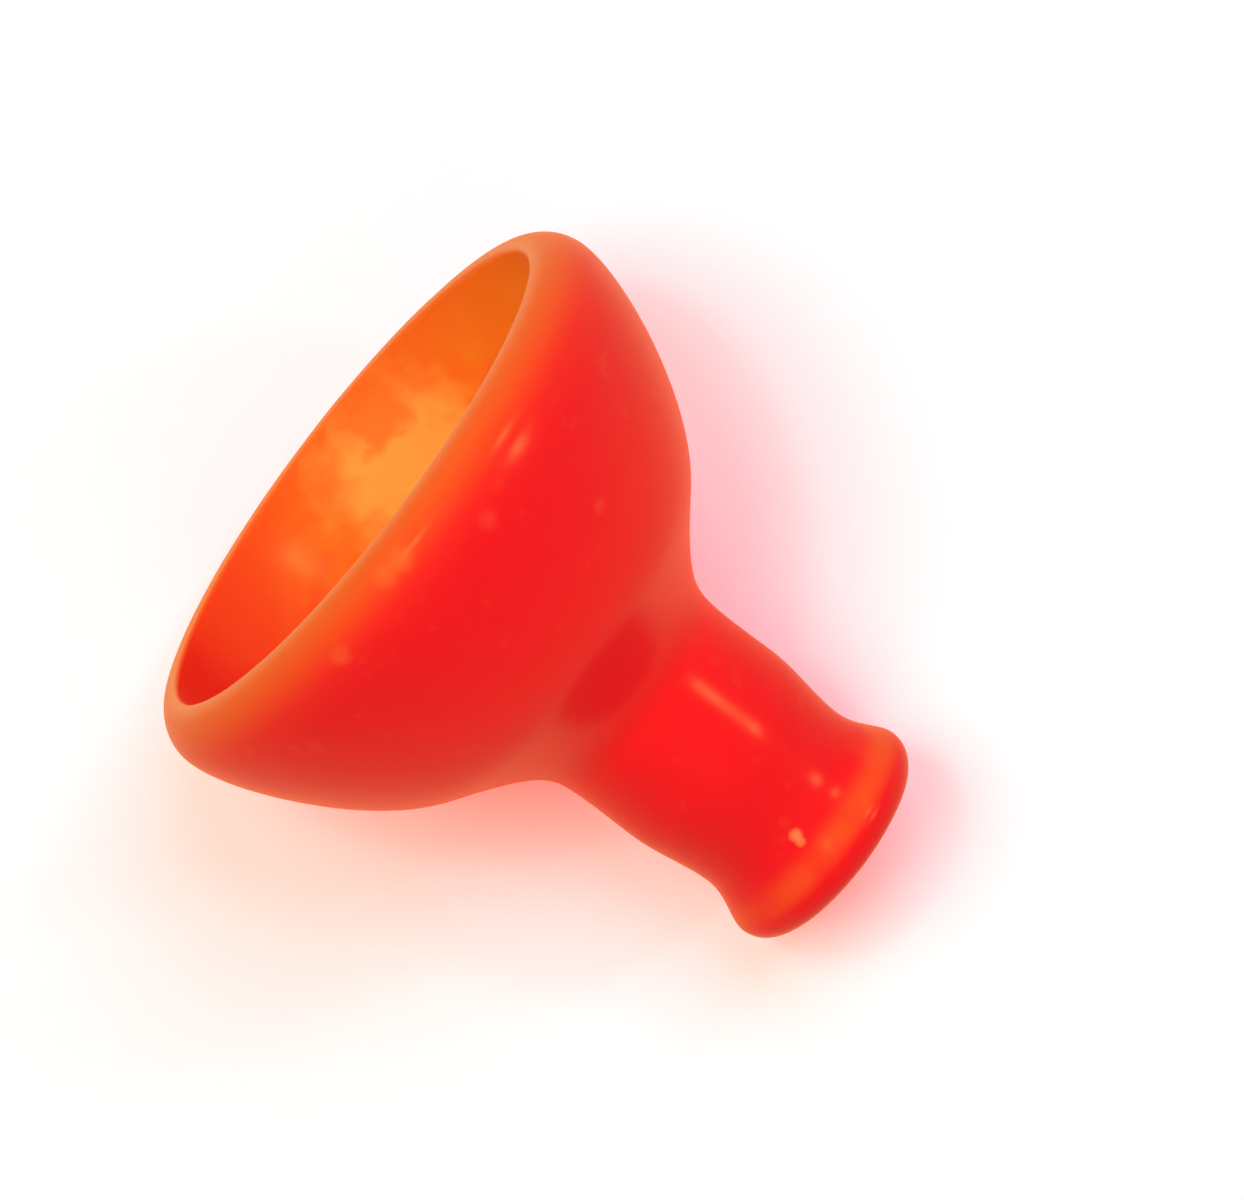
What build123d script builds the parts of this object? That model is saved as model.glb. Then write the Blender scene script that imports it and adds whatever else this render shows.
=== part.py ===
from build123d import *
from math import atan, atan2, cos, degrees, radians, sin
import os

# Twist-on wire connector with a soft bell skirt. It stands on its tail with its mouth up. The origin is the centre of
# the tail face, and +Z runs along the axis towards the mouth. All sizes are in millimetres. A point of a half section
# is written as (radius, height).
#
#   jacket          soft moulding: bell skirt, neck and flared tail lip
#   thimble         rigid insulating cup in the neck, keyed to the jacket by ribs
#   spring          tapered coil of square wire with a radial tang, free to turn a little in the thimble
#   retaining_ring  collar pressed into the throat, over the thimble
#   tail_plug       stepped disc that closes the tail

# Bell skirt. Each slope is the side's lean away from the axis, in degrees.
LENGTH = 28.0
MOUTH_RADIUS = 14.17                 # largest outside radius
RIM_WIDTH = 1.7                      # the rim's outer rounding, across
RIM_DEPTH = 2.05                     # the rim's outer rounding, along the axis
LIP_ROUND = 0.3                      # the rim's inner rounding
SHOULDER = (9.12, 16.2)              # where the sweep from the neck turns over into the bell
SHOULDER_SLOPE = 52.5
SHOULDER_WALL = 1.5
THROAT_SLOPE = 42                    # of the bowl's inside, where it meets the retaining ring

# Neck and tail
NECK_TOP = (5.21, 11.83)
NECK_TOP_SLOPE = 6.9
SWELL = (5.15, 7.9)                  # widest part of the barrel-shaped neck
WAIST = (4.73, 3.95)
TAIL_RADIUS = 5.55                   # crest of the flared lip
TAIL_CORNER = 1.25                   # rounding between the tail face and that crest

# Bore of the neck, which the thimble fills
BORE_BOTTOM = (3.75, 2.6)
BORE_TOP = (4.25, 12.9)
THIMBLE_WALL = 0.6                   # at its mouth
THIMBLE_FLOOR = 0.9
THIMBLE_SEAT_RADIUS = 2.45           # inside radius at the floor
KEY_COUNT = 4
KEY_RADIUS = 4.35                    # how far the keys reach out from the axis
KEY_WIDTH = 0.9
KEY_BOTTOM = 5.6
KEY_TOP = 11.2

# Retaining ring
RING_RADIUS = 4.7
RING_BORE_RADIUS = 2.5
RING_THICKNESS = 1.35
RING_LEAD_IN = 0.55                  # chamfer at the mouth side

# Spring, of square wire wound on edge so that a corner of the wire faces the conductors
WIRE = 0.7
COIL_BOTTOM = (1.62, 4.25)           # centre of the wire at the last turn
COIL_TOP_RADIUS = 2.95               # centre of the wire at the first turn
COIL_PITCH = 1.06
COIL_TURNS = 7.5
TANG_REACH = 3.95                    # how far the tang runs out from the axis
TURN_LIMIT = 12.0                    # degrees that the spring turns each way
TANG_GAP = 0.12                      # left between the tang and its stop at the limit

# Tail plug
PLUG_RADIUS = 3.35
PLUG_RECESS = 0.25                   # how far the plug's face lies inside the tail face
PLUG_DISC_TOP = 1.2
PLUG_STEM_RADIUS = 2.3
PLUG_BEAD = 0.25                     # how far the stem's bead stands out

ring_top = BORE_TOP[1] + RING_THICKNESS
coil_rise = COIL_PITCH * COIL_TURNS
coil_top_height = COIL_BOTTOM[1] + coil_rise
wire_reach = WIRE / 2**0.5           # from the wire's centre to its corners
coil_cone = degrees(atan((COIL_TOP_RADIUS - COIL_BOTTOM[0]) / coil_rise))
coil_path = Helix(COIL_PITCH, coil_rise, COIL_BOTTOM[0], center=(0, 0, COIL_BOTTOM[1]), cone_angle=coil_cone)
coil_end = coil_path @ 1
tang_angle = degrees(atan2(coil_end.Y, coil_end.X))


def turned(*lines):
    """The solid of revolution about Z of a half section, whose closed outline is drawn flat as (radius, height)."""
    return revolve(Plane.XZ * make_face(Curve() + list(lines)), axis=Axis.Z)


def stepped(*points):
    """The solid of revolution about Z of a straight-sided half section."""
    return turned(Polyline(*points, close=True))


def blend(start, start_slope, end, end_slope, start_pull, end_pull):
    """A smooth line between two points of the half section, rising from one to the other.

    Each slope is the line's lean away from the axis at that end, in degrees. Each pull says how far the line keeps
    to it, as a part of the distance between the points.
    """
    start, end = Vector(*start), Vector(*end)
    reach = (end - start).length
    start_direction = Vector(sin(radians(start_slope)), cos(radians(start_slope)))
    end_direction = Vector(sin(radians(end_slope)), cos(radians(end_slope)))
    start_handle = start + start_direction * reach * start_pull
    end_handle = end - end_direction * reach * end_pull
    return Bezier(start, start_handle, end_handle, end)


def key_bars(inner_radius):
    """The ribs that stop the thimble turning in the jacket."""
    length = KEY_RADIUS - inner_radius
    middle = (KEY_RADIUS + inner_radius) / 2
    bar = Pos(middle, 0, (KEY_BOTTOM + KEY_TOP) / 2) * Box(length, KEY_WIDTH, KEY_TOP - KEY_BOTTOM)
    return [Rot(0, 0, 45 + 360 / KEY_COUNT * i) * bar for i in range(KEY_COUNT)]


def thimble_blank():
    """The thimble before it is hollowed: the shape that it fills in the jacket."""
    blank = stepped((0, BORE_BOTTOM[1]), BORE_BOTTOM, BORE_TOP, (0, BORE_TOP[1]))
    for bar in key_bars(BORE_BOTTOM[0] - THIMBLE_WALL / 2):
        blank += bar
    return blank


def thimble():
    """Tapered cup with keys outside and a notch in its mouth that the spring's tang plays in."""
    floor_height = BORE_BOTTOM[1] + THIMBLE_FLOOR
    mouth = (BORE_TOP[0] - THIMBLE_WALL, BORE_TOP[1])
    cup = thimble_blank() - stepped((0, floor_height), (THIMBLE_SEAT_RADIUS, floor_height), mouth, (0, mouth[1]))
    notch_bottom = coil_top_height - wire_reach - TANG_GAP
    notch_height = BORE_TOP[1] - notch_bottom
    notch_width = 2 * (wire_reach + TANG_GAP)
    bar = Pos(BORE_TOP[0], 0, notch_bottom + notch_height) * Box(BORE_TOP[0], notch_width, 2 * notch_height)
    for turn in (-TURN_LIMIT, 0, TURN_LIMIT):
        cup -= Rot(0, 0, tang_angle + turn) * bar
    return cup


def spring():
    """Tapered coil whose first turn ends in a tang that points out from the axis."""
    start = Plane(origin=coil_path @ 0, z_dir=coil_path % 0, x_dir=(1, 0, 0))
    wire_on_edge = Rot(0, 0, 45) * Rectangle(WIRE, WIRE)
    coil = sweep(start * wire_on_edge, path=coil_path, is_frenet=True)
    outward = Vector(coil_end.X, coil_end.Y, 0).normalized()
    tang_length = TANG_REACH - COIL_TOP_RADIUS
    tang = Plane(origin=coil_end, z_dir=outward) * extrude(wire_on_edge, tang_length)
    return coil + tang


def retaining_ring():
    """Flat collar with a lead-in for the conductors."""
    return stepped(
        (RING_BORE_RADIUS, BORE_TOP[1]), (RING_RADIUS, BORE_TOP[1]), (RING_RADIUS, ring_top),
        (RING_BORE_RADIUS + RING_LEAD_IN, ring_top), (RING_BORE_RADIUS, ring_top - RING_LEAD_IN))


def tail_plug(face_height):
    """Disc and beaded stem that close the tail, from face_height up to the thimble's floor."""
    bead_height = (PLUG_DISC_TOP + BORE_BOTTOM[1]) / 2
    return stepped(
        (0, face_height), (PLUG_RADIUS, face_height), (PLUG_RADIUS, PLUG_DISC_TOP),
        (PLUG_STEM_RADIUS, PLUG_DISC_TOP), (PLUG_STEM_RADIUS + PLUG_BEAD, bead_height),
        (PLUG_STEM_RADIUS, BORE_BOTTOM[1]), (0, BORE_BOTTOM[1]))


def jacket():
    """Bell skirt, neck and flared tail, hollowed for the bowl, the ring, the thimble and the plug."""
    foot_edge = (TAIL_RADIUS - TAIL_CORNER, 0)
    lip_crest = (TAIL_RADIUS, TAIL_CORNER)
    rim_start = (MOUTH_RADIUS, LENGTH - RIM_DEPTH)
    rim_crest = (MOUTH_RADIUS - RIM_WIDTH, LENGTH)
    lip_end = (rim_crest[0] - LIP_ROUND, LENGTH - LIP_ROUND)
    wall_across = Vector(-cos(radians(SHOULDER_SLOPE)), sin(radians(SHOULDER_SLOPE))) * SHOULDER_WALL
    bowl_shoulder = Vector(*SHOULDER) + wall_across
    bowl_edge = (RING_RADIUS, ring_top)
    outside = [
        TangentArc(foot_edge, lip_crest, tangent=(1, 0)),
        blend(lip_crest, 0, WAIST, 0, 0.22, 0.45),
        blend(WAIST, 0, SWELL, 0, 0.35, 0.35),
        blend(SWELL, 0, NECK_TOP, NECK_TOP_SLOPE, 0.35, 0.3),
        blend(NECK_TOP, NECK_TOP_SLOPE, SHOULDER, SHOULDER_SLOPE, 0.216, 0.597),
        blend(SHOULDER, SHOULDER_SLOPE, rim_start, 0, 0.312, 0.198),
        EllipticalCenterArc((rim_crest[0], rim_start[1]), RIM_WIDTH, RIM_DEPTH, start_angle=0, arc_size=90),
    ]
    bowl = [
        TangentArc(rim_crest, lip_end, tangent=(-1, 0)),
        blend(bowl_shoulder, SHOULDER_SLOPE, lip_end, 0, 0.3, 0.22),
        blend(bowl_edge, THROAT_SLOPE, bowl_shoulder, SHOULDER_SLOPE, 0.35, 0.35),
    ]
    core = Polyline(bowl_edge, (0, ring_top), (0, 0), foot_edge)
    ring_seat = stepped((0, BORE_TOP[1]), (RING_RADIUS, BORE_TOP[1]), (RING_RADIUS, ring_top), (0, ring_top))
    return turned(*outside, *bowl, core) - ring_seat - thimble_blank() - tail_plug(0)


nodes = {
    "jacket": jacket(),
    "thimble": thimble(),
    "spring": spring(),
    "retaining_ring": retaining_ring(),
    "tail_plug": tail_plug(PLUG_RECESS),
}

os.makedirs("parts", exist_ok=True)
for name, solid in nodes.items():
    solid.label = name
    export_step(solid, f"parts/{name}.step")
    print(f"{name}: {len(solid.solids())} solid, {solid.volume:.1f} mm3")
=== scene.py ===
"""Twist-on wire connector with a soft bell skirt: its looks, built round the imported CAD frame."""
import logging
import math
from dataclasses import dataclass
from enum import Enum
from typing import Any, Mapping, Optional, Sequence

import bpy
from mathutils import Matrix, Vector


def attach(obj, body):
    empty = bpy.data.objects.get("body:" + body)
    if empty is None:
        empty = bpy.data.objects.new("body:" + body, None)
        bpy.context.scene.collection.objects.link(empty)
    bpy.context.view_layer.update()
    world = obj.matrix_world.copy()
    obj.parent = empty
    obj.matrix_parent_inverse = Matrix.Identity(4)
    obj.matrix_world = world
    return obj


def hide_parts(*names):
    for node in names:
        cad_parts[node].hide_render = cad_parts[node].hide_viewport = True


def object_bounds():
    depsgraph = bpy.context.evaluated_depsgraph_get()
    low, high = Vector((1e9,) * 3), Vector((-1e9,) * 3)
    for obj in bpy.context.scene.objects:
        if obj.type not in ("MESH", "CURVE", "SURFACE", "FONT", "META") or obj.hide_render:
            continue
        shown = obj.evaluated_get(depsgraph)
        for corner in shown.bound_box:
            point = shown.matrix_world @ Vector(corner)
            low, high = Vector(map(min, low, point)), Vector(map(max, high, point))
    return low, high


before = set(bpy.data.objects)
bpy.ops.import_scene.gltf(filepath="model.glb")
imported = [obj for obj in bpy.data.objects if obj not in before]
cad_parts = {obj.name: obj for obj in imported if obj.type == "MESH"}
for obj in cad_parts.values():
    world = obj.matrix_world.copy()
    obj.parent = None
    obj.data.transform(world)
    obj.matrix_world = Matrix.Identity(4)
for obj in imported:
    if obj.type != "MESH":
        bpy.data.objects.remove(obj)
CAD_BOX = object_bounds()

LOG = logging.getLogger("wire_connector")
MM = 0.001
SEAM_GAP = 1e-7         # metres within which points of a seam or pole become one
SPOT_CORE = 0.2         # part of a spot's reach in which it is at its full strength
Colour = tuple[float, float, float]
Point = tuple[float, float]
Place = tuple[float, float, float]
Band = tuple[float, float, float]


class Side(Enum):
    """How a point of a turned outline joins its neighbours."""

    SHARP = "sharp"
    SMOOTH = "smooth"


# --------------------------------------------------------------------------------------------------
# Node trees
# --------------------------------------------------------------------------------------------------


class NodeBoard:
    """Adds and joins nodes in one node tree."""

    def __init__(self, tree: bpy.types.NodeTree) -> None:
        """Works on an existing tree."""
        self.tree = tree

    def add(
            self, kind: str, inputs: Optional[Mapping[Any, Any]] = None, **settings: Any) -> bpy.types.Node:
        """Adds a node.

        Args:
            kind: The node's type name.
            inputs: Input sockets by name or number, each with a value or the socket that feeds it.
            **settings: The node's own properties.

        Returns:
            The new node.
        """
        node = self.tree.nodes.new(kind)
        for name, value in settings.items():
            setattr(node, name, value)
        for name, value in (inputs or {}).items():
            if isinstance(value, bpy.types.NodeSocket):
                self.tree.links.new(value, node.inputs[name])
            else:
                node.inputs[name].default_value = value
        return node

    def math(
            self, operation: str, first: Any, second: Any = 0.0, clamp: bool = False) -> bpy.types.NodeSocket:
        """Adds a Math node and returns its result."""
        node = self.add("ShaderNodeMath", {0: first, 1: second}, operation=operation, use_clamp=clamp)
        return node.outputs[0]

    def ease(self, value: Any, low: Any, high: Any) -> bpy.types.NodeSocket:
        """Returns a smooth step of value, from 0 at low to 1 at high."""
        inputs = {"Value": value, "From Min": low, "From Max": high}
        return self.add("ShaderNodeMapRange", inputs, interpolation_type="SMOOTHSTEP").outputs["Result"]

    def mix(self, share: Any, first: Any, second: Any) -> bpy.types.NodeSocket:
        """Mixes two colours.

        Args:
            share: How much of the second there is, from 0 to 1.
            first: A colour or the socket of one.
            second: A colour or the socket of one.

        Returns:
            The socket of the mixed colour.
        """
        node = self.add("ShaderNodeMix", data_type="RGBA")
        for index, value in ((0, share), (6, first), (7, second)):
            if isinstance(value, bpy.types.NodeSocket):
                self.tree.links.new(value, node.inputs[index])
            else:
                node.inputs[index].default_value = (*value, 1.0) if isinstance(value, tuple) else value
        return node.outputs[2]

    def band(self, value: Any, middle: float, reach: float, core: float) -> bpy.types.NodeSocket:
        """Returns 1 within core of the middle, easing to 0 at reach from it."""
        return self.ease(self.math("ABSOLUTE", self.math("SUBTRACT", value, middle)), reach, core)

    def near(self, place: Any, centre: Place, reach: float, stray: Any = 0.0) -> bpy.types.NodeSocket:
        """Returns 1 round a spot, easing to 0 away from it.

        Args:
            place: The socket of the place that is asked about, in metres.
            centre: The spot's middle, in millimetres.
            reach: How far it reaches, in millimetres.
            stray: What is taken from the distance to make the edge uneven, in metres.

        Returns:
            The socket of the value.
        """
        away = self.add(
            "ShaderNodeVectorMath", {0: place, 1: [c * MM for c in centre]}, operation="DISTANCE")
        spread = self.math("SUBTRACT", away.outputs["Value"], stray)
        return self.ease(spread, reach * MM, reach * SPOT_CORE * MM)


def new_group(
        name: str, kind: str, inputs: Sequence[tuple], outputs: Sequence[tuple],
        ) -> tuple[NodeBoard, bpy.types.NodeOutputs, bpy.types.Node]:
    """Makes a node group with its sockets.

    Args:
        name: The group's name.
        kind: GeometryNodeTree or ShaderNodeTree.
        inputs: (name, socket type) or (name, socket type, default) of each input.
        outputs: (name, socket type) of each output.

    Returns:
        The board that the group is built on, its input node's outputs and its output node.
    """
    tree = bpy.data.node_groups.new(name, kind)
    for entry in inputs:
        socket = tree.interface.new_socket(name=entry[0], in_out="INPUT", socket_type=entry[1])
        if len(entry) > 2:
            socket.default_value = entry[2]
    for entry in outputs:
        tree.interface.new_socket(name=entry[0], in_out="OUTPUT", socket_type=entry[1])
    board = NodeBoard(tree)
    return board, board.add("NodeGroupInput").outputs, board.add("NodeGroupOutput")


def mottle_group() -> bpy.types.NodeTree:
    """Builds the soft cloudy variation of moulded plastic.

    Returns:
        A shader group with inputs Scale, Detail Scale and Warp, and outputs Cloud and Speck, each 0 to 1.
    """
    board, given, out = new_group(
        "cloudy_mottle", "ShaderNodeTree",
        [("Scale", "NodeSocketFloat", 300.0), ("Detail Scale", "NodeSocketFloat", 1200.0),
         ("Warp", "NodeSocketFloat", 0.6)],
        [("Cloud", "NodeSocketFloat"), ("Speck", "NodeSocketFloat")])
    place = board.add("ShaderNodeTexCoord").outputs["Object"]
    cloud = board.add(
        "ShaderNodeTexNoise", {"Vector": place, "Scale": given["Scale"], "Detail": 3.0, "Roughness": 0.55,
                               "Distortion": given["Warp"]})
    speck = board.add(
        "ShaderNodeTexNoise", {"Vector": place, "Scale": given["Detail Scale"], "Detail": 2.0,
                               "Roughness": 0.5})
    board.tree.links.new(board.ease(cloud.outputs[0], 0.22, 0.78), out.inputs["Cloud"])
    board.tree.links.new(board.ease(speck.outputs[0], 0.22, 0.78), out.inputs["Speck"])
    return board.tree


def skin_group() -> bpy.types.NodeTree:
    """Builds the fine skin that a mould leaves on plastic.

    Returns:
        A shader group with inputs Grain Scale, Roughness and Roughness Range, and outputs Height and
        Roughness.
    """
    board, given, out = new_group(
        "moulded_skin", "ShaderNodeTree",
        [("Grain Scale", "NodeSocketFloat", 2500.0), ("Roughness", "NodeSocketFloat", 0.4),
         ("Roughness Range", "NodeSocketFloat", 0.1)],
        [("Height", "NodeSocketFloat"), ("Roughness", "NodeSocketFloat")])
    place = board.add("ShaderNodeTexCoord").outputs["Object"]
    grain = board.add(
        "ShaderNodeTexNoise", {"Vector": place, "Scale": given["Grain Scale"], "Detail": 4.0})
    broad = board.add("ShaderNodeTexNoise", {"Vector": place, "Scale": 260.0, "Detail": 2.0})
    height = board.math("ADD", board.math("MULTIPLY", grain.outputs[0], 0.3), broad.outputs[0])
    swing = board.math("MULTIPLY", board.math("SUBTRACT", broad.outputs[0], 0.5), given["Roughness Range"])
    board.tree.links.new(height, out.inputs["Height"])
    board.tree.links.new(board.math("ADD", given["Roughness"], swing), out.inputs["Roughness"])
    return board.tree


def turned_tree() -> bpy.types.NodeTree:
    """Builds the tree that turns a flat outline round the Z axis.

    The outline is a curve drawn in the XY plane, X the radius and Y the height. Each point of the result
    carries the number of the outline's point as the attribute "station".

    Returns:
        A geometry tree with inputs Geometry, Segments, Path Radius, Unevenness, Wave Scale, Seed and
        Material.
    """
    board, given, out = new_group(
        "turned_piece", "GeometryNodeTree",
        [("Geometry", "NodeSocketGeometry"), ("Segments", "NodeSocketInt", 128),
         ("Path Radius", "NodeSocketFloat", MM), ("Unevenness", "NodeSocketFloat", 0.0),
         ("Wave Scale", "NodeSocketFloat", 200.0), ("Seed", "NodeSocketFloat", 0.0),
         ("Material", "NodeSocketMaterial")],
        [("Geometry", "NodeSocketGeometry")])
    number = board.add("GeometryNodeInputIndex").outputs[0]
    numbered = board.add(
        "GeometryNodeStoreNamedAttribute",
        {"Geometry": given["Geometry"], "Name": "station", "Value": number},
        data_type="FLOAT", domain="POINT")
    finer = board.add("GeometryNodeResampleCurve", {"Curve": numbered.outputs[0]}, mode="EVALUATED")
    inward = board.add("ShaderNodeCombineXYZ", {"X": board.math("MULTIPLY", given["Path Radius"], -1.0)})
    outline = board.add(
        "GeometryNodeTransform",
        {"Geometry": finer.outputs[0], "Translation": inward.outputs[0], "Rotation": (math.pi, 0.0, 0.0)})
    circle = board.add(
        "GeometryNodeCurvePrimitiveCircle",
        {"Resolution": given["Segments"], "Radius": given["Path Radius"]}, mode="RADIUS")
    mesh = board.add(
        "GeometryNodeCurveToMesh", {"Curve": circle.outputs[0], "Profile Curve": outline.outputs[0]})
    outward = board.add("GeometryNodeFlipFaces", {"Mesh": mesh.outputs[0]})
    closed = board.add(
        "GeometryNodeMergeByDistance", {"Geometry": outward.outputs[0], "Distance": SEAM_GAP})
    waves = board.add(
        "ShaderNodeTexNoise", {"Scale": given["Wave Scale"], "W": given["Seed"], "Detail": 2.0},
        noise_dimensions="4D")
    depth = board.math("MULTIPLY", waves.outputs[0], board.math("MULTIPLY", given["Unevenness"], -1.0))
    push = board.add(
        "ShaderNodeVectorMath", {0: board.add("GeometryNodeInputNormal").outputs[0], "Scale": depth},
        operation="SCALE")
    uneven = board.add("GeometryNodeSetPosition", {"Geometry": closed.outputs[0], "Offset": push.outputs[0]})
    smooth = board.add("GeometryNodeSetShadeSmooth", {"Geometry": uneven.outputs[0]})
    real = board.add("GeometryNodeRealizeInstances", {"Geometry": smooth.outputs[0]})
    dressed = board.add(
        "GeometryNodeSetMaterial", {"Geometry": real.outputs[0], "Material": given["Material"]})
    board.tree.links.new(dressed.outputs[0], out.inputs["Geometry"])
    return board.tree


def wire_tree() -> bpy.types.NodeTree:
    """Builds the tree that lays square wire, on edge, along a path about the Z axis.

    Returns:
        A geometry tree with inputs Geometry, Wire, Corner and Material.
    """
    board, given, out = new_group(
        "square_wire", "GeometryNodeTree",
        [("Geometry", "NodeSocketGeometry"), ("Wire", "NodeSocketFloat", 0.7 * MM),
         ("Corner", "NodeSocketFloat", 0.08 * MM), ("Material", "NodeSocketMaterial")],
        [("Geometry", "NodeSocketGeometry")])
    finer = board.add("GeometryNodeResampleCurve", {"Curve": given["Geometry"]}, mode="EVALUATED")
    upright = board.add("GeometryNodeSetCurveNormal", {"Curve": finer.outputs[0]}, mode="Z_UP")
    square = board.add(
        "GeometryNodeCurvePrimitiveQuadrilateral", {"Width": given["Wire"], "Height": given["Wire"]},
        mode="RECTANGLE")
    eased = board.add(
        "GeometryNodeFilletCurve", {"Curve": square.outputs[0], "Count": 4, "Radius": given["Corner"]},
        mode="POLY")
    on_edge = board.add(
        "GeometryNodeTransform", {"Geometry": eased.outputs[0], "Rotation": (0.0, 0.0, math.radians(45.0))})
    wire = board.add(
        "GeometryNodeCurveToMesh",
        {"Curve": upright.outputs[0], "Profile Curve": on_edge.outputs[0], "Fill Caps": True})
    smooth = board.add("GeometryNodeSetShadeSmooth", {"Geometry": wire.outputs[0]})
    real = board.add("GeometryNodeRealizeInstances", {"Geometry": smooth.outputs[0]})
    dressed = board.add(
        "GeometryNodeSetMaterial", {"Geometry": real.outputs[0], "Material": given["Material"]})
    board.tree.links.new(dressed.outputs[0], out.inputs["Geometry"])
    return board.tree


def grow(
        name: str, source: bpy.types.Object, tree: bpy.types.NodeTree, values: Mapping[str, Any],
        ) -> bpy.types.Object:
    """Runs a geometry tree on an object and keeps the result as a plain mesh.

    Args:
        name: Name of the new piece.
        source: The object that the tree starts from. It is removed.
        tree: The geometry tree.
        values: The tree's inputs by name.

    Returns:
        The new piece, at the origin.
    """
    modifier = source.modifiers.new("grow", "NODES")
    modifier.node_group = tree
    for item in tree.interface.items_tree:
        if item.in_out == "INPUT" and item.name in values:
            modifier[item.identifier] = values[item.name]
    bpy.context.view_layer.update()
    evaluated = source.evaluated_get(bpy.context.evaluated_depsgraph_get())
    mesh = bpy.data.meshes.new_from_object(evaluated)
    mesh.name = name
    piece = bpy.data.objects.new(name, mesh)
    bpy.context.scene.collection.objects.link(piece)
    source.modifiers.remove(modifier)
    bpy.data.objects.remove(source)
    LOG.info("%s: %d faces", name, len(mesh.polygons))
    return piece


# --------------------------------------------------------------------------------------------------
# Outlines
# --------------------------------------------------------------------------------------------------


class Outline:
    """A half section in millimetres, drawn as (radius, height), that grows run by run."""

    ROUND = 0.5523  # share of a quarter round's side at which its handles stand

    def __init__(self, start: Point) -> None:
        """Starts the line at a point."""
        self.runs: list[tuple[Vector, Vector, Vector, Vector, Side]] = []
        self.end = Vector(start)

    def _run(self, first: Vector, second: Vector, end: Vector, side: Side) -> "Outline":
        """Adds one run.

        Args:
            first: The handle at its start.
            second: The handle at its end.
            end: Where it ends.
            side: How it joins its neighbours.

        Returns:
            This outline.
        """
        self.runs.append((self.end, first, second, end, side))
        self.end = end
        return self

    def straight(self, *points: Point) -> "Outline":
        """Adds straight runs.

        Args:
            *points: The point that each run ends at.

        Returns:
            This outline.
        """
        for point in points:
            end = Vector(point)
            self._run(self.end.lerp(end, 1 / 3), self.end.lerp(end, 2 / 3), end, Side.SHARP)
        return self

    def quarter(self, corner: Point, end: Point) -> "Outline":
        """Adds a quarter round that turns inside the corner."""
        corner, end = Vector(corner), Vector(end)
        return self._run(self.end.lerp(corner, self.ROUND), end.lerp(corner, self.ROUND), end, Side.SMOOTH)

    def blend(self, end: Point, slopes: Point, pulls: Point, down: bool = False) -> "Outline":
        """Adds a smooth run.

        Args:
            end: Where it ends.
            slopes: Its lean away from the axis at its start and end, in degrees.
            pulls: How far it keeps to each lean, as a part of the distance between the ends.
            down: True for a run that goes down.

        Returns:
            This outline.
        """
        end = Vector(end)
        reach = (end - self.end).length * (-1 if down else 1)
        first, last = (Vector((math.sin(math.radians(s)), math.cos(math.radians(s)))) for s in slopes)
        return self._run(self.end + first * reach * pulls[0], end - last * reach * pulls[1], end, Side.SMOOTH)

    def curve(self, steps: int, closed: bool = True) -> bpy.types.Object:
        """Makes the outline a curve object in metres, in the XY plane.

        Args:
            steps: How many steps each curved run is cut into.
            closed: Whether the last point joins the first.

        Returns:
            The curve object.
        """
        data = bpy.data.curves.new("outline", "CURVE")
        data.dimensions = "3D"
        spline = data.splines.new("BEZIER")
        spline.resolution_u = steps
        spline.use_cyclic_u = closed
        starts = [run[0] for run in self.runs] + ([] if closed else [self.end])
        spline.bezier_points.add(len(starts) - 1)
        for knot, place in zip(spline.bezier_points, starts):
            knot.co = (place * MM).to_3d()
            knot.handle_left_type = knot.handle_right_type = "FREE"
            knot.handle_left = knot.handle_right = knot.co
        for number, (_, first, second, _, side) in enumerate(self.runs):
            knot = spline.bezier_points[number]
            following = spline.bezier_points[(number + 1) % len(starts)]
            knot.handle_right, following.handle_left = (first * MM).to_3d(), (second * MM).to_3d()
            if side is Side.SHARP:
                knot.handle_right_type = following.handle_left_type = "VECTOR"
        piece = bpy.data.objects.new("outline", data)
        bpy.context.scene.collection.objects.link(piece)
        return piece


# --------------------------------------------------------------------------------------------------
# Finishes
# --------------------------------------------------------------------------------------------------


def new_material(name: str) -> tuple[bpy.types.Material, NodeBoard]:
    """Makes an empty node material.

    Args:
        name: Its name.

    Returns:
        The material and the board for its tree.
    """
    material = bpy.data.materials.new(name)
    material.use_nodes = True
    material.node_tree.nodes.clear()
    return material, NodeBoard(material.node_tree)


def let_light_through(board: NodeBoard, surface: bpy.types.NodeSocket, tint: Colour) -> None:
    """Ends a material so that lamps shine through it, tinted, as they do through translucent plastic.

    Args:
        board: The material's board.
        surface: The shader that everything else sees.
        tint: What one surface leaves of a lamp's light.
    """
    path = board.add("ShaderNodeLightPath")
    through = board.add("ShaderNodeBsdfTransparent", {"Color": (*tint, 1.0)})
    mixed = board.add(
        "ShaderNodeMixShader", {0: path.outputs["Is Shadow Ray"], 1: surface, 2: through.outputs[0]})
    board.add("ShaderNodeOutputMaterial", {"Surface": mixed.outputs[0]})


@dataclass(frozen=True)
class Mark:
    """A small spot of another colour on the vinyl, pale spots and painted highlights among them. It is in
    millimetres.
    """

    place: Place
    reach: float
    colour: Colour
    strength: float = 0.8


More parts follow.
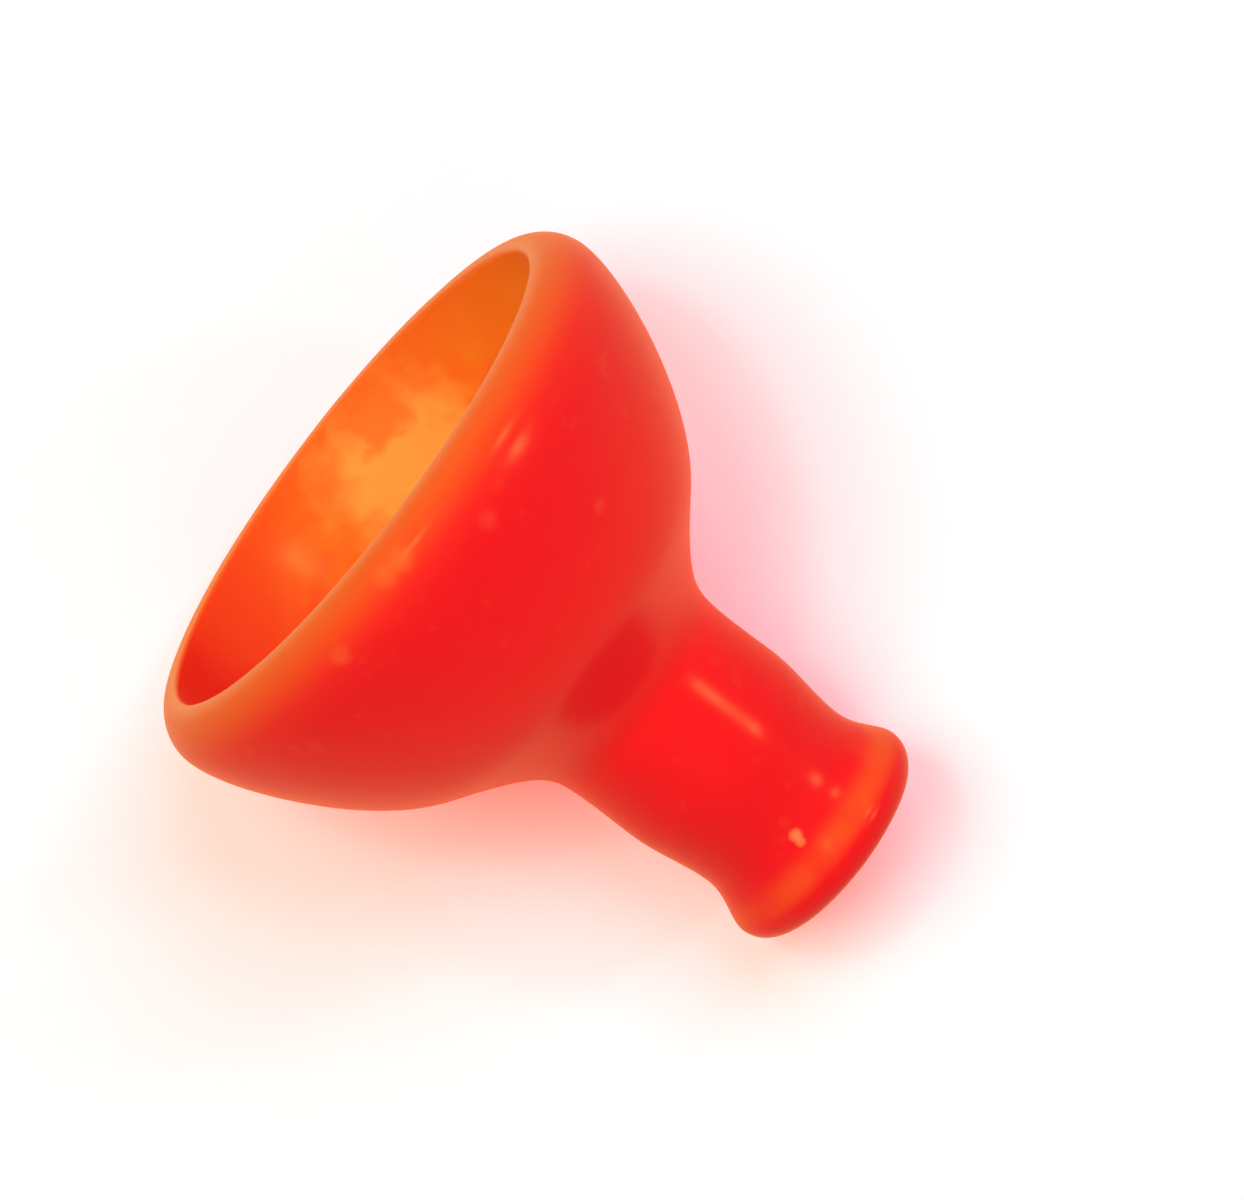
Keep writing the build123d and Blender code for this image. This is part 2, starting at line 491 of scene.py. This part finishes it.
@dataclass(frozen=True)
class SoftVinyl:
    """Translucent orange-red vinyl: deep red outside, orange in the bowl, where light comes through the wall.

    The colours follow the outline of the jacket by the numbers of its points: 1 tail crest, 4 neck top,
    5 shoulder, 6 rim start, 7 rim crest, 8 lip end. A band is (middle, reach, core), a rise is (low, high).
    """

    skin: Colour = (0.86, 0.006, 0.014)
    warm_skin: Colour = (0.86, 0.013, 0.014)
    # painted light: a brighter red that lifts the shade in the concave sweep from neck to shoulder
    sweep_painted_light: Colour = (1.0, 0.009, 0.014)
    fleck: Colour = (0.88, 0.05, 0.02)
    # painted highlight: the orange band where the tail's flange faces the key lamp
    tail_ridge_highlight: Colour = (0.86, 0.07, 0.014)
    # painted shade: the bowl turns redder, then deep red, towards its end at -X
    bowl_deep_shade: Colour = (0.72, 0.006, 0.01)
    bowl_warm_shade: Colour = (0.76, 0.06, 0.014)
    bowl: Colour = (0.78, 0.155, 0.014)
    # the bowl's lighter mottle, and also painted light on the bowl's side towards +X
    bowl_mottle_and_lit: Colour = (0.8, 0.28, 0.016)
    # painted light: the pale cream patch on the bowl's far wall
    bowl_lit_patch: Colour = (0.86, 0.42, 0.07)
    # painted light: the rim's orange stands for light coming through its thin wall
    rim: Colour = (0.8, 0.12, 0.014)
    # painted highlight: a paler line along the rim's crest
    crest: Colour = (0.88, 0.29, 0.09)
    lamp_tint: Colour = (1.0, 0.39, 0.05)
    gloss_tint: Colour = (1.0, 0.5, 0.12)
    edge_tint: Colour = (1.0, 0.44, 0.24)
    ridge_highlight_band: Band = (1.35, 0.4, 0.05)
    sweep_light_band: Band = (4.6, 1.2, 0.3)
    crest_highlight_band: Band = (7.2, 0.55, 0.1)
    rim_glow_rise: Point = (5.8, 6.8)
    bowl_rise: Point = (7.4, 8.1)
    foot_fall: Point = (1.1, 0.7)            # millimetres of height, from the flange down to the tail's face
    lit_patch_spot: Place = (2.2, 11.4, 23.9)     # millimetres; middle of the painted patch of light in the bowl
    lit_patch_reach: float = 4.4                  # millimetres
    knot: Place = (2.9, 11.8, 26.3)          # millimetres; a darker spot left in the painted patch of light
    dark_spot_reach: float = 1.3                  # millimetres
    painted_lit_side: Point = (3.0, 11.0)          # millimetres along X, over which painted light makes the bowl yellower
    warm_shade_end: Point = (1.0, -9.0)            # millimetres along X, over which painted shade makes the bowl redder
    deep_shade_end: Point = (-8.2, -10.6)          # millimetres along X, over which painted shade makes the bowl deep red
    mottled_from: Point = (27.6, 23.736)     # millimetres of height, from the lip down into the bowl
    cloud_stray: float = 0.8                 # millimetres that the broad mottle shifts the bowl's colours
    spot_stray: float = 1.1                  # millimetres that the mottle shifts the edge of a large spot
    mark_stray: float = 0.12                 # millimetres that the fine mottle shifts the edge of a mark
    cloud_scale: float = 210.0
    speck_scale: float = 900.0
    fleck_rise: Point = (0.84, 0.98)         # of the fine mottle, where it turns into flecks
    warm_share: float = 0.3                  # each share is how much of its colour is mixed in at most
    fleck_share: float = 0.22
    crest_highlight_share: float = 0.75
    lit_side_share: float = 0.45
    lit_patch_share: float = 0.9
    dark_spot_share: float = 0.7
    roughness: float = 0.22
    depth: float = 2.0
    marks_and_highlights: tuple[Mark, ...] = (
        # pale spots on the bell and the rim
        Mark((2.0, -13.9, 25.0), 0.6, (0.9, 0.05, 0.03), 0.5),
        Mark((-6.2, -12.7, 26.2), 0.55, (0.9, 0.14, 0.04), 0.35),
        Mark((5.3, -11.4, 21.0), 0.45, (0.9, 0.05, 0.03), 0.5),
        Mark((-1.5, -13.8, 26.9), 0.7, (0.9, 0.2, 0.03), 0.4),
        Mark((-2.4, -13.7, 27.0), 0.7, (0.9, 0.2, 0.03), 0.35),
        # painted highlights on the tail's flange, where it faces the lamps
        Mark((-0.7, -4.7, 3.35), 0.36, (0.94, 0.24, 0.07), 0.85),
        Mark((-0.8, -4.75, 3.05), 0.3, (0.94, 0.24, 0.07), 0.7),
    )

    def material(self, mottle: bpy.types.NodeTree, skin: bpy.types.NodeTree) -> bpy.types.Material:
        """Builds the material.

        Args:
            mottle: The cloudy_mottle group.
            skin: The moulded_skin group.

        Returns:
            The material. It reads the outline's point numbers from the attribute "station".
        """
        material, board = new_material("soft_vinyl")
        station = board.add("ShaderNodeAttribute", attribute_name="station").outputs["Fac"]
        clouds = board.add("ShaderNodeGroup", node_tree=mottle)
        clouds.inputs["Scale"].default_value = self.cloud_scale
        clouds.inputs["Detail Scale"].default_value = self.speck_scale
        cloud, speck = clouds.outputs["Cloud"], clouds.outputs["Speck"]
        plain = board.mix(board.math("MULTIPLY", cloud, self.warm_share), self.skin, self.warm_skin)
        flecks = board.math("MULTIPLY", board.ease(speck, *self.fleck_rise), self.fleck_share)
        plain = board.mix(flecks, plain, self.fleck)
        # painted light lifts the shade in the concave sweep
        outside = board.mix(board.band(station, *self.sweep_light_band), plain, self.sweep_painted_light)
        patchy = board.math("ADD", cloud, 0.25, clamp=True)
        # painted highlight along the tail's flange, broken up by the mottle
        ridge_highlight = board.math("MULTIPLY", board.band(station, *self.ridge_highlight_band), patchy)
        outside = board.mix(ridge_highlight, outside, self.tail_ridge_highlight)
        # painted light: the rim glows orange where light comes through its thin wall
        outside = board.mix(board.ease(station, *self.rim_glow_rise), outside, self.rim)
        # painted highlight along the rim's crest
        crest = board.math("MULTIPLY", board.band(station, *self.crest_highlight_band), self.crest_highlight_share)
        outside = board.mix(crest, outside, self.crest)
        place = board.add("ShaderNodeTexCoord").outputs["Object"]
        uneven = board.math("MULTIPLY", speck, self.mark_stray * MM)
        for mark in self.marks_and_highlights:
            # each spot, the painted highlights included
            share = board.math("MULTIPLY", board.near(place, mark.place, mark.reach, uneven), mark.strength)
            outside = board.mix(share, outside, mark.colour)
        bowl = self.bowl_colour(board, place, cloud, speck)
        colour = board.mix(board.ease(station, *self.bowl_rise), outside, bowl)
        height = board.add("ShaderNodeSeparateXYZ", {0: place}).outputs["Z"]
        foot = board.ease(height, self.foot_fall[0] * MM, self.foot_fall[1] * MM)
        colour = board.mix(foot, colour, plain)
        grain = board.add("ShaderNodeGroup", node_tree=skin)
        grain.inputs["Roughness"].default_value = self.roughness
        grain.inputs["Roughness Range"].default_value = 0.08
        bump = board.add(
            "ShaderNodeBump", {"Height": grain.outputs["Height"], "Strength": 0.3, "Distance": 0.04 * MM})
        surface = board.add("ShaderNodeBsdfPrincipled", {
            "Base Color": colour, "Roughness": grain.outputs["Roughness"], "Normal": bump.outputs[0],
            "Subsurface Weight": 0.6, "Subsurface Radius": (1.0, 0.3, 0.12),
            "Subsurface Scale": self.depth * MM, "IOR": 1.42, "Specular Tint": (*self.gloss_tint, 1.0),
            "Sheen Weight": 0.16, "Sheen Roughness": 0.25, "Sheen Tint": (*self.edge_tint, 1.0)})
        let_light_through(board, surface.outputs[0], self.lamp_tint)
        return material

    def bowl_colour(self, board: NodeBoard, place: Any, cloud: Any, speck: Any) -> bpy.types.NodeSocket:
        """Mixes the bowl's orange, with painted shade that reddens it towards -X, painted light that yellows
        it towards +X and a painted patch of light, palest where the wall lets most light through.

        Args:
            board: The material's board.
            place: The place on the piece.
            cloud: The broad mottle.
            speck: The fine mottle.

        Returns:
            The socket of the colour.
        """
        axes = board.add("ShaderNodeSeparateXYZ", {0: place}).outputs
        across = axes["X"]
        inside = board.ease(axes["Z"], self.mottled_from[0] * MM, self.mottled_from[1] * MM)
        wavy = board.math("ADD", across, board.math("MULTIPLY", cloud, self.cloud_stray * MM))
        # painted shade: redder, then deep red, towards the bowl's end at -X
        warm = board.ease(wavy, self.warm_shade_end[0] * MM, self.warm_shade_end[1] * MM)
        deep = board.ease(wavy, self.deep_shade_end[0] * MM, self.deep_shade_end[1] * MM)
        light = board.ease(across, self.painted_lit_side[0] * MM, self.painted_lit_side[1] * MM)
        both = board.math("ADD", speck, board.math("MULTIPLY", cloud, 0.6))
        stray = board.math("MULTIPLY", both, self.spot_stray * MM)
        # painted patch of light on the bowl's far wall, with a darker spot in it
        pale = board.near(place, self.lit_patch_spot, self.lit_patch_reach, stray)
        knot = board.near(place, self.knot, self.dark_spot_reach, stray)
        blotch = board.math("ADD", board.math("MULTIPLY", cloud, 1.1), board.math("MULTIPLY", speck, 0.5))
        share = board.math("MULTIPLY", board.math("SUBTRACT", blotch, 0.25), inside, clamp=True)
        colour = board.mix(share, self.bowl, self.bowl_mottle_and_lit)
        # painted light: the bowl's side towards +X is yellower
        colour = board.mix(board.math("MULTIPLY", light, self.lit_side_share), colour, self.bowl_mottle_and_lit)
        colour = board.mix(warm, colour, self.bowl_warm_shade)
        colour = board.mix(board.math("MULTIPLY", pale, self.lit_patch_share), colour, self.bowl_lit_patch)
        colour = board.mix(board.math("MULTIPLY", knot, self.dark_spot_share), colour, self.bowl)
        return board.mix(deep, colour, self.bowl_deep_shade)


@dataclass(frozen=True)
class RigidLiner:
    """Hard orange-red nylon of the thimble, the ring and the plug."""

    base: Colour = (0.66, 0.026, 0.012)
    light: Colour = (0.77, 0.065, 0.018)
    gloss_tint: Colour = (1.0, 0.45, 0.25)
    lamp_tint: Colour = (0.9, 0.6, 0.62)
    roughness: float = 0.46

    def material(self, mottle: bpy.types.NodeTree, skin: bpy.types.NodeTree) -> bpy.types.Material:
        """Builds the material.

        Args:
            mottle: The cloudy_mottle group.
            skin: The moulded_skin group.

        Returns:
            The material.
        """
        material, board = new_material("liner_nylon")
        clouds = board.add("ShaderNodeGroup", node_tree=mottle)
        clouds.inputs["Scale"].default_value = 500.0
        clouds.inputs["Detail Scale"].default_value = 1900.0
        colour = board.mix(clouds.outputs["Cloud"], self.base, self.light)
        grain = board.add("ShaderNodeGroup", node_tree=skin)
        grain.inputs["Roughness"].default_value = self.roughness
        grain.inputs["Roughness Range"].default_value = 0.2
        bump = board.add(
            "ShaderNodeBump", {"Height": grain.outputs["Height"], "Strength": 0.3, "Distance": 0.02 * MM})
        surface = board.add("ShaderNodeBsdfPrincipled", {
            "Base Color": colour, "Roughness": grain.outputs["Roughness"], "Normal": bump.outputs[0],
            "Subsurface Weight": 0.15, "Subsurface Radius": (1.0, 0.3, 0.15), "Subsurface Scale": 0.6 * MM,
            "IOR": 1.5, "Specular Tint": (*self.gloss_tint, 1.0)})
        let_light_through(board, surface.outputs[0], self.lamp_tint)
        return material


@dataclass(frozen=True)
class PlatedWire:
    """Zinc-plated spring steel with the fine draw lines of square wire."""

    bright: Colour = (0.82, 0.82, 0.83)
    dull: Colour = (0.58, 0.57, 0.54)
    roughness: float = 0.32

    def material(self) -> bpy.types.Material:
        """Builds the material.

        Returns:
            The material.
        """
        material, board = new_material("plated_wire")
        place = board.add("ShaderNodeTexCoord").outputs["Object"]
        blotch = board.add(
            "ShaderNodeTexNoise", {"Vector": place, "Scale": 900.0, "Detail": 5.0, "Roughness": 0.6})
        fine = board.add("ShaderNodeTexNoise", {"Vector": place, "Scale": 6000.0, "Detail": 2.0})
        share = board.ease(blotch.outputs[0], 0.4, 0.7)
        rough = board.math("ADD", board.math("MULTIPLY", share, 0.18), self.roughness)
        bump = board.add(
            "ShaderNodeBump", {"Height": fine.outputs[0], "Strength": 0.35, "Distance": 0.01 * MM})
        surface = board.add("ShaderNodeBsdfPrincipled", {
            "Base Color": board.mix(share, self.bright, self.dull), "Roughness": rough,
            "Normal": bump.outputs[0], "Metallic": 1.0})
        board.add("ShaderNodeOutputMaterial", {"Surface": surface.outputs[0]})
        return material


# --------------------------------------------------------------------------------------------------
# Sub-assemblies
# --------------------------------------------------------------------------------------------------


@dataclass
class Jacket:
    """The soft moulding: bell skirt, neck and flared tail. Sizes are in millimetres.

    A point is (radius, height) and a slope is the lean away from the axis in degrees.
    """

    mouth_radius: float = 14.17
    length: float = 28.0
    rim_width: float = 1.7
    rim_depth: float = 2.05
    lip_round: float = 0.3
    shoulder: Point = (9.12, 16.2)
    shoulder_slope: float = 52.5
    shoulder_wall: float = 1.5
    throat_slope: float = 42.0
    neck_top: Point = (5.21, 11.83)
    neck_top_slope: float = 6.9
    swell: Point = (5.15, 7.9)
    waist: Point = (4.73, 3.95)
    tail_radius: float = 5.55
    tail_corner: float = 1.25
    ring_seat: Point = (4.7, 14.25)
    bore_top: Point = (4.25, 12.9)
    bore_bottom: Point = (3.75, 2.6)
    plug_stem_radius: float = 2.3
    plug_disc: Point = (3.35, 1.2)
    unevenness: float = 0.05

    def outline(self) -> Outline:
        """Draws the closed half section, from the foot up the outside, over the rim and down the inside.

        Returns:
            The outline.
        """
        rim_start = (self.mouth_radius, self.length - self.rim_depth)
        crest = (self.mouth_radius - self.rim_width, self.length)
        lip_end = (crest[0] - self.lip_round, self.length - self.lip_round)
        lean = math.radians(self.shoulder_slope)
        across_wall = Vector((-math.cos(lean), math.sin(lean))) * self.shoulder_wall
        bowl_shoulder = Vector(self.shoulder) + across_wall
        slope, plug = self.shoulder_slope, self.plug_disc
        line = Outline((self.tail_radius - self.tail_corner, 0.0))
        line.quarter((self.tail_radius, 0.0), (self.tail_radius, self.tail_corner))
        line.blend(self.waist, (0, 0), (0.22, 0.45))
        line.blend(self.swell, (0, 0), (0.35, 0.35))
        line.blend(self.neck_top, (0, self.neck_top_slope), (0.35, 0.3))
        line.blend(self.shoulder, (self.neck_top_slope, slope), (0.216, 0.597))
        line.blend(rim_start, (slope, 0), (0.312, 0.198))
        line.quarter((self.mouth_radius, self.length), crest)
        line.quarter((lip_end[0], self.length), lip_end)
        line.blend(bowl_shoulder, (0, slope), (0.22, 0.3), down=True)
        line.blend(self.ring_seat, (slope, self.throat_slope), (0.35, 0.35), down=True)
        line.straight((self.ring_seat[0], self.bore_top[1]), self.bore_top, self.bore_bottom)
        line.straight(
            (self.plug_stem_radius, self.bore_bottom[1]), (self.plug_stem_radius, plug[1]), plug)
        line.straight((plug[0], 0.0), (self.tail_radius - self.tail_corner, 0.0))
        return line

    def build(self, tree: bpy.types.NodeTree, vinyl: bpy.types.Material) -> None:
        """Makes the moulding and lets it stand for the CAD jacket.

        Args:
            tree: The turned_piece tree.
            vinyl: Its material.
        """
        values = {
            "Segments": 256, "Path Radius": MM, "Unevenness": self.unevenness * MM, "Wave Scale": 260.0,
            "Seed": 4.0, "Material": vinyl}
        piece = grow("bell_jacket", self.outline().curve(steps=20), tree, values)
        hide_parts("jacket")
        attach(piece, "connector")


@dataclass
class Lining:
    """The rigid pieces in the neck: thimble, retaining ring and tail plug. Sizes are in millimetres.

    The plug's dish is a round from its middle to a part of its radius.
    """

    ring_bore: float = 2.5
    ring_radius: float = 4.7
    ring_bottom: float = 12.9
    ring_top: float = 14.25
    lead_in: float = 0.55
    edge: float = 0.12
    plug_radius: float = 3.35
    plug_face: float = 0.25
    plug_disc_top: float = 1.2
    plug_stem_radius: float = 2.3
    plug_top: float = 2.6
    plug_dish: float = 0.3
    dish_handle: float = 0.6    # part of the plug's radius at which the dish starts to rise
    dish_edge: float = 0.72     # part of the plug's radius at which it ends

    def ring_outline(self) -> Outline:
        """Draws the ring's half section, with eased edges towards the mouth.

        Returns:
            The outline.
        """
        line = Outline((self.ring_bore, self.ring_bottom))
        line.straight((self.ring_radius, self.ring_bottom), (self.ring_radius, self.ring_top - self.edge))
        line.quarter((self.ring_radius, self.ring_top), (self.ring_radius - self.edge, self.ring_top))
        line.straight((self.ring_bore + self.lead_in + self.edge, self.ring_top))
        line.quarter(
            (self.ring_bore + self.edge, self.ring_top - self.edge),
            (self.ring_bore, self.ring_top - self.lead_in))
        line.straight((self.ring_bore, self.ring_bottom))
        return line

    def plug_outline(self) -> Outline:
        """Draws the plug's half section, from the middle of its dished face to the end of its stem.

        Returns:
            The outline.
        """
        dish_bottom = self.plug_face + self.plug_dish
        line = Outline((0.0, dish_bottom))
        line.quarter(
            (self.plug_radius * self.dish_handle, dish_bottom),
            (self.plug_radius * self.dish_edge, self.plug_face))
        line.straight((self.plug_radius - self.edge, self.plug_face))
        line.quarter((self.plug_radius, self.plug_face), (self.plug_radius, self.plug_face + self.edge))
        line.straight(
            (self.plug_radius, self.plug_disc_top), (self.plug_stem_radius, self.plug_disc_top),
            (self.plug_stem_radius, self.plug_top), (0.0, self.plug_top))
        return line

    def build(self, tree: bpy.types.NodeTree, nylon: bpy.types.Material) -> None:
        """Makes the ring and the plug, and dresses the CAD thimble.

        Args:
            tree: The turned_piece tree.
            nylon: Their material.
        """
        values = {"Segments": 128, "Path Radius": MM, "Unevenness": 0.0, "Material": nylon}
        ring = grow("throat_ring", self.ring_outline().curve(steps=8), tree, values)
        plug = grow("tail_closure", self.plug_outline().curve(steps=8, closed=False), tree, values)
        for piece, node in ((ring, "retaining_ring"), (plug, "tail_plug")):
            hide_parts(node)
            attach(piece, "connector")
        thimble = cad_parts["thimble"]
        thimble.data.materials.clear()
        thimble.data.materials.append(nylon)
        LOG.info("thimble: dressed as packed")


@dataclass
class Coil:
    """The tapered spring of square wire, with its tang. Sizes are in millimetres."""

    wire: float = 0.7
    corner: float = 0.08
    bottom: Point = (1.62, 4.25)
    top: Point = (2.95, 12.2)
    pitch: float = 1.06
    tang_reach: float = 3.95
    points_a_turn: int = 24

    def path(self) -> bpy.types.Object:
        """Lays out the wire's middle line as a smooth curve, from the narrow end up to the tang's tip.

        Returns:
            The curve object, in metres.
        """
        rise = Vector(self.top) - Vector(self.bottom)
        turns = rise.length / self.pitch
        count = round(turns * self.points_a_turn)
        places = []
        for number in range(count + 1):
            radius, height = Vector(self.bottom) + rise * (number / count)
            angle = math.tau * turns * number / count
            places.append(Vector((radius * math.cos(angle), radius * math.sin(angle), height)))
        outward = Vector((places[-1].x, places[-1].y, 0.0)).normalized()
        tip = outward * self.tang_reach + Vector((0.0, 0.0, self.top[1]))
        places += [places[-1].lerp(tip, 0.5), tip]
        data = bpy.data.curves.new("coil_path", "CURVE")
        data.dimensions = "3D"
        spline = data.splines.new("NURBS")
        spline.points.add(len(places) - 1)
        for point, place in zip(spline.points, places):
            point.co = (*(place * MM), 1.0)
        spline.order_u = 3
        spline.use_endpoint_u = True
        spline.resolution_u = 3
        piece = bpy.data.objects.new("coil_path", data)
        bpy.context.scene.collection.objects.link(piece)
        return piece

    def build(self, tree: bpy.types.NodeTree, steel: bpy.types.Material) -> None:
        """Winds the wire and lets it stand for the CAD spring.

        Args:
            tree: The square_wire tree.
            steel: Its material.
        """
        values = {"Wire": self.wire * MM, "Corner": self.corner * MM, "Material": steel}
        piece = grow("grip_spring", self.path(), tree, values)
        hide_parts("spring")
        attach(piece, "spring")


# --------------------------------------------------------------------------------------------------
# Studio
# --------------------------------------------------------------------------------------------------


@dataclass(frozen=True)
class Lamp:
    """A round soft lamp. Its place is metres right of, above and in front of the connector in the view."""

    name: str
    place: Place
    size: float
    power: float
    colour: Colour = (1.0, 1.0, 1.0)
    glossy: bool = False    # whether gloss shows it


@dataclass
class Studio:
    """Pale table, soft lamps and the camera. The connector lies on its side and is seen from above."""

    tilt: float = 14.5              # degrees that the mouth leans towards the camera
    roll: float = 52.75             # degrees from straight down to where the tail points, anticlockwise
    distance: float = 0.262
    lens: float = 172.4
    aim: Point = (1.1, 2.78)        # millimetres right of and above the connector's middle, in the view
    table_half: float = 0.25
    steepest: float = 45.0          # degrees within which the table's lean is looked for
    halvings: int = 30              # steps of that search
    table_colour: Colour = (0.93, 0.93, 0.92)
    paper_shade: float = 0.985                       # of the table's darker flecks
    gloss_colour: Colour = (0.9, 0.4, 0.2)           # the table as gloss shows it
    backdrop: float = 0.98                           # brightness of the room as the camera sees it
    room: Colour = (0.2, 0.2, 0.22)                  # the room as it lights the connector
    room_gloss: Colour = (0.55, 0.42, 0.36)          # the room as gloss shows it
    lamps: tuple[Lamp, ...] = (
        Lamp("key", (-0.19, 0.03, 0.42), 0.27, 1.13, (1.0, 1.0, 0.8)),
        Lamp("top", (0.05, 0.2, 0.4), 0.26, 0.66, (1.0, 1.0, 1.32)),
        Lamp("fill", (0.1, -0.28, 0.36), 0.3, 0.24, (1.0, 1.0, 0.82)),
        Lamp("left_glint", (-0.17, 0.08, 0.46), 0.05, 0.17, glossy=True),
        Lamp("right_glint", (0.386, 0.12, 0.294), 0.07, 0.2, glossy=True),
        Lamp("top_glint", (0.2, 0.265, 0.37), 0.07, 0.18, glossy=True),
    )

    def __post_init__(self) -> None:
        """Works out the camera's axes and the connector's middle."""
        lean, turn = math.radians(self.tilt), math.radians(self.roll)
        self.back = Vector((0.0, -math.cos(lean), math.sin(lean)))
        level = Vector((1.0, 0.0, 0.0))
        upright = Vector((0.0, math.sin(lean), math.cos(lean)))
        self.right = level * math.cos(turn) - upright * math.sin(turn)
        self.up = level * math.sin(turn) + upright * math.cos(turn)
        self.middle = (CAD_BOX[0] + CAD_BOX[1]) / 2

    def place(self, right: float, up: float, back: float) -> Vector:
        """Returns the point that far right of, above and in front of the connector's middle in the view."""
        return self.middle + self.right * right + self.up * up + self.back * back

    def camera(self) -> None:
        """Makes the camera and points it."""
        data = bpy.data.cameras.new("camera")
        data.lens = self.lens
        data.clip_start, data.clip_end = 0.01, 10.0
        camera = bpy.data.objects.new("camera", data)
        bpy.context.scene.collection.objects.link(camera)
        spot = self.place(0.0, 0.0, self.distance)
        back = (spot - self.place(self.aim[0] * MM, self.aim[1] * MM, 0.0)).normalized()
        right = self.up.cross(back).normalized()
        axes = Matrix((right, back.cross(right), back)).transposed()
        camera.matrix_world = Matrix.Translation(spot) @ axes.to_4x4()
        bpy.context.scene.camera = camera

    def table(self) -> None:
        """Lays the table against the rim and the tail's lip. It is seen only from the connector's side."""
        spots = [(v.co.y, v.co.z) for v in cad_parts["jacket"].data.vertices]
        waist = self.middle.z * 0.5
        low, high = 0.0, math.radians(self.steepest)
        for _ in range(self.halvings):
            lean = (low + high) / 2
            reach = [(y * math.cos(lean) - z * math.sin(lean), z) for y, z in spots]
            bell = max(r for r, z in reach if z > waist)
            tail = max(r for r, z in reach if z <= waist)
            low, high = (lean, high) if bell > tail else (low, lean)
        normal = Vector((0.0, -math.cos(lean), math.sin(lean)))
        along = Vector((0.0, math.sin(lean), math.cos(lean)))
        level = Vector((1.0, 0.0, 0.0))
        centre = self.middle - normal * (normal.dot(self.middle) + max(bell, tail))
        signs = ((-1, -1), (1, -1), (1, 1), (-1, 1))
        corners = [centre + (level * x + along * y) * self.table_half for x, y in signs]
        mesh = bpy.data.meshes.new("table")
        mesh.from_pydata(corners, [], [(0, 1, 2, 3)])
        if mesh.polygons[0].normal.dot(normal) < 0:
            mesh.flip_normals()
        table = bpy.data.objects.new("table", mesh)
        bpy.context.scene.collection.objects.link(table)
        table.data.materials.append(self.table_material())
        LOG.info("table leans %.1f degrees", math.degrees(lean))

    def table_material(self) -> bpy.types.Material:
        """Builds the pale matt table, clear from behind.

        Returns:
            The material.
        """
        material, board = new_material("pale_table")
        place = board.add("ShaderNodeTexCoord").outputs["Object"]
        paper = board.add("ShaderNodeTexNoise", {"Vector": place, "Scale": 900.0, "Detail": 3.0})
        pale = tuple(c * self.paper_shade for c in self.table_colour)
        surface = board.add("ShaderNodeBsdfPrincipled", {
            "Base Color": board.mix(paper.outputs[0], pale, self.table_colour), "Roughness": 0.9,
            "Specular IOR Level": 0.0})
        behind = board.add("ShaderNodeNewGeometry").outputs["Backfacing"]
        clear = board.add("ShaderNodeBsdfTransparent")
        warm = board.add("ShaderNodeBsdfDiffuse", {"Color": (*self.gloss_colour, 1.0)})
        glossy = board.add("ShaderNodeLightPath").outputs["Is Glossy Ray"]
        seen = board.add("ShaderNodeMixShader", {0: glossy, 1: surface.outputs[0], 2: warm.outputs[0]})
        mixed = board.add("ShaderNodeMixShader", {0: behind, 1: seen.outputs[0], 2: clear.outputs[0]})
        board.add("ShaderNodeOutputMaterial", {"Surface": mixed.outputs[0]})
        return material

    def light(self) -> None:
        """Hangs the soft lamps and lights the room."""
        for lamp in self.lamps:
            data = bpy.data.lights.new(lamp.name, "AREA")
            data.shape, data.size, data.energy, data.color = "DISK", lamp.size, lamp.power, lamp.colour
            hung = bpy.data.objects.new(lamp.name, data)
            bpy.context.scene.collection.objects.link(hung)
            spot = self.place(*lamp.place)
            hung.location = spot
            hung.rotation_euler = (spot - self.middle).to_track_quat("Z", "Y").to_euler()
            hung.visible_glossy = lamp.glossy
        world = bpy.data.worlds.new("studio")
        bpy.context.scene.world = world
        world.use_nodes = True
        world.node_tree.nodes.clear()
        board = NodeBoard(world.node_tree)
        seen = board.add("ShaderNodeBackground", {"Color": (1.0, 1.0, 1.0, 1.0), "Strength": self.backdrop})
        lit = board.add("ShaderNodeBackground", {"Color": (*self.room, 1.0), "Strength": 1.0})
        mirrored = board.add("ShaderNodeBackground", {"Color": (*self.room_gloss, 1.0), "Strength": 1.0})
        path = board.add("ShaderNodeLightPath")
        felt = board.add(
            "ShaderNodeMixShader",
            {0: path.outputs["Is Glossy Ray"], 1: lit.outputs[0], 2: mirrored.outputs[0]})
        mixed = board.add(
            "ShaderNodeMixShader",
            {0: path.outputs["Is Camera Ray"], 1: felt.outputs[0], 2: seen.outputs[0]})
        board.add("ShaderNodeOutputWorld", {"Surface": mixed.outputs[0]})
        bpy.context.scene.view_settings.view_transform = "Standard"

    def build(self) -> None:
        """Sets the whole stage."""
        self.table()
        self.light()
        self.camera()


def main() -> None:
    """Builds the connector's pieces in order, then the stage round them."""
    logging.basicConfig(level=logging.INFO, format="%(name)s: %(message)s")
    mottle, skin = mottle_group(), skin_group()
    turned, wound = turned_tree(), wire_tree()
    Jacket().build(turned, SoftVinyl().material(mottle, skin))
    Lining().build(turned, RigidLiner().material(mottle, skin))
    Coil().build(wound, PlatedWire().material())
    Studio().build()


if __name__ == "__main__":
    main()
